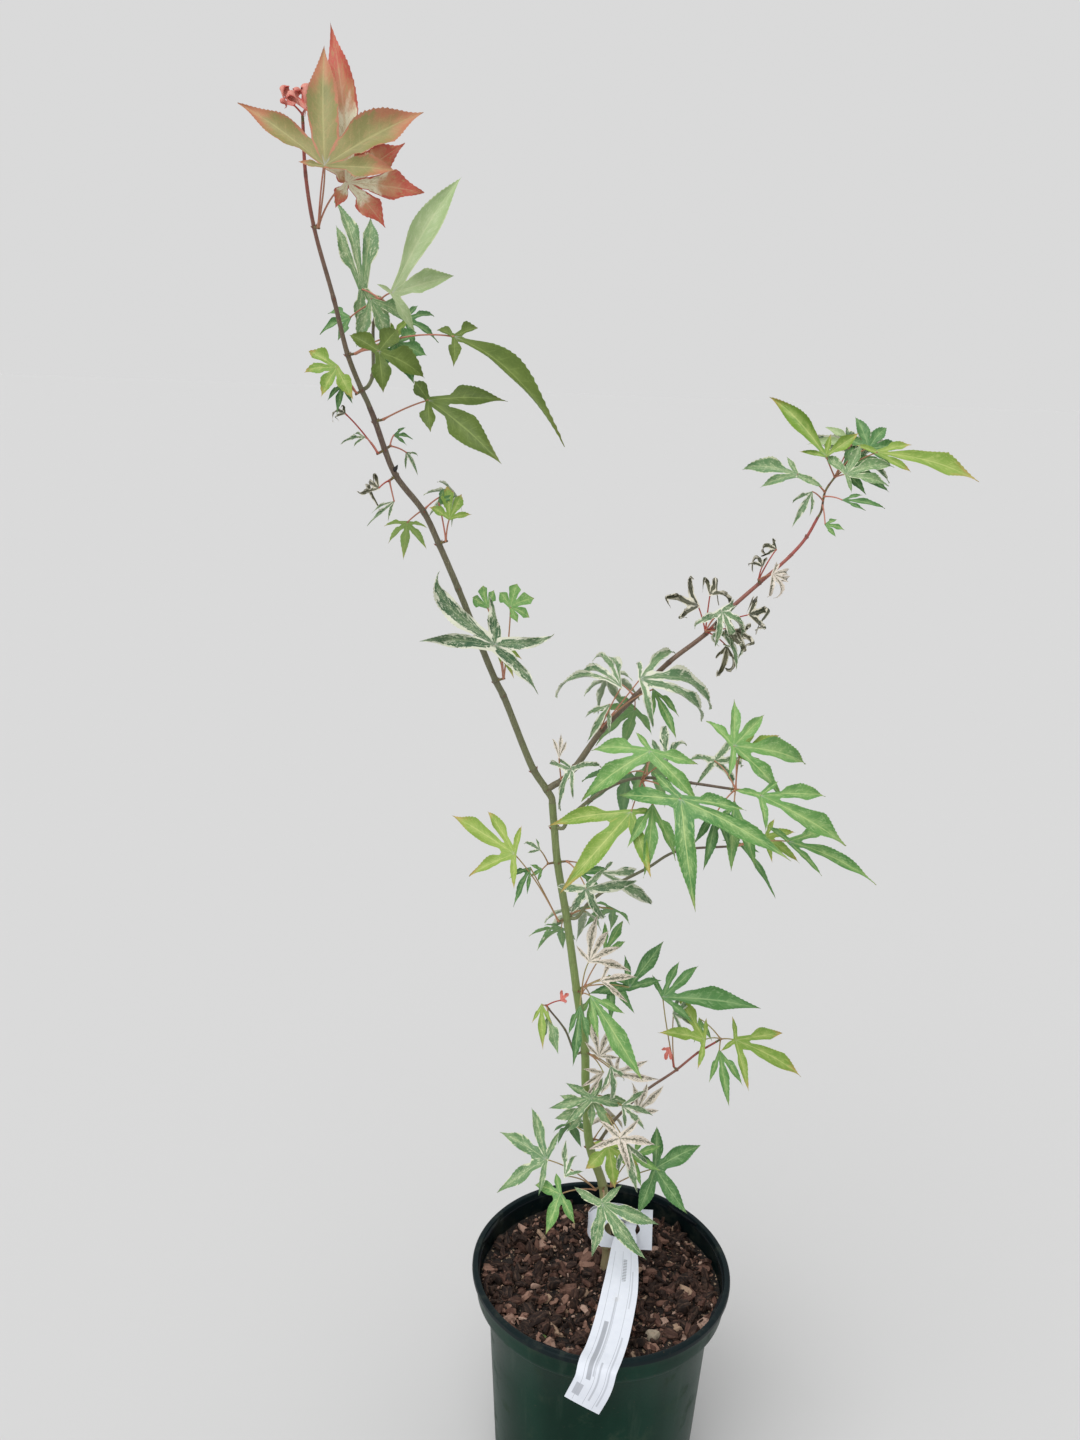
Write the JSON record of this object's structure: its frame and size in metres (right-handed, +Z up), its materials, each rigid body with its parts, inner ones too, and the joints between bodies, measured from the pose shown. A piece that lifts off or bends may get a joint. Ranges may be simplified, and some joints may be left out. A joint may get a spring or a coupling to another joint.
{
  "type": "potted japanese maple",
  "caption": "Young palmate-leaved tree with a leaning forked trunk, side boughs and sparse leaf masses in a round bark-topped nursery pot with a loop label.",
  "frame": {"origin": "centre of the pot's flat underside", "axes": "+Z up along the pot's axis, -Y towards the plant's front, +X to the right as the front is seen"},
  "size_m": [0.4406, 0.2087, 0.9809],
  "materials": {
    "pot_plastic": "moulded dark green plastic, slightly glossy",
    "bark_chips": "rough reddish-brown chipped bark on dark compost",
    "label_plastic": "smooth white plastic film with plain printed rules and blocks",
    "green_bark": "smooth fresh green bark with paler streaks",
    "olive_bark": "smooth olive-brown young bark",
    "red_bark": "smooth brown to red young bark",
    "red_leaf": "red curled leaf tips",
    "young_leaf": "olive young leaves with orange edges",
    "pale_leaf": "pale green young leaves",
    "lime_leaf": "fresh yellow-green leaves",
    "green_leaf": "matt green leaves with pale veins",
    "variegated_leaf": "green leaves with cream edges",
    "dark_leaf": "matt dark green leaves",
    "withered_leaf": "dry brown curled leaves",
    "white_leaf": "pinkish white leaves with dark specks"
  },
  "bodies": {
    "root": {"pot": "pot_plastic", "bark_mulch": "bark_chips", "stem_label": "label_plastic", "trunk": "green_bark", "leader_lower": "olive_bark", "leader_upper": "red_bark", "leader_side_shoot": "olive_bark", "right_bough": "red_bark", "middle_branch": "olive_bark", "lower_branch": "olive_bark", "low_branch": "red_bark", "left_twig": "olive_bark", "crown_tip_curls": "red_leaf", "crown_top_leaves": "young_leaf", "side_shoot_leaves": "pale_leaf", "upper_node_leaves": "lime_leaf", "leader_left_leaf": "lime_leaf", "upper_fork_leaf": "green_leaf", "leader_curl_left": "variegated_leaf", "leader_curl_right": "dark_leaf", "leader_withered_leaf": "withered_leaf", "leader_fan_leaf": "lime_leaf", "leader_variegated_leaves": "variegated_leaf", "fork_white_leaf": "white_leaf", "bough_variegated_leaves": "variegated_leaf", "bough_withered_leaves": "withered_leaf", "bough_white_curls": "white_leaf", "bough_tip_leaves": "green_leaf", "middle_front_leaves": "variegated_leaf", "middle_tip_leaves": "green_leaf", "lower_tip_leaves": "green_leaf", "trunk_left_leaf": "lime_leaf", "trunk_upper_leaves": "variegated_leaf", "trunk_upper_buds": "variegated_leaf", "trunk_white_leaves": "white_leaf", "trunk_middle_leaves": "green_leaf", "left_twig_leaf": "lime_leaf", "trunk_low_white_leaves": "white_leaf", "trunk_low_variegated_leaves": "variegated_leaf", "trunk_low_green_leaves": "lime_leaf", "low_branch_middle_leaves": "dark_leaf", "low_branch_tip_leaves": "lime_leaf", "low_left_leaves": "variegated_leaf", "front_foot_leaf": "green_leaf", "middle_back_leaves": "green_leaf", "bough_back_leaves": "variegated_leaf", "leader_back_leaves": "lime_leaf", "trunk_back_leaves": "green_leaf", "trunk_low_back_leaves": "dark_leaf"}
  },
  "joints": []
}
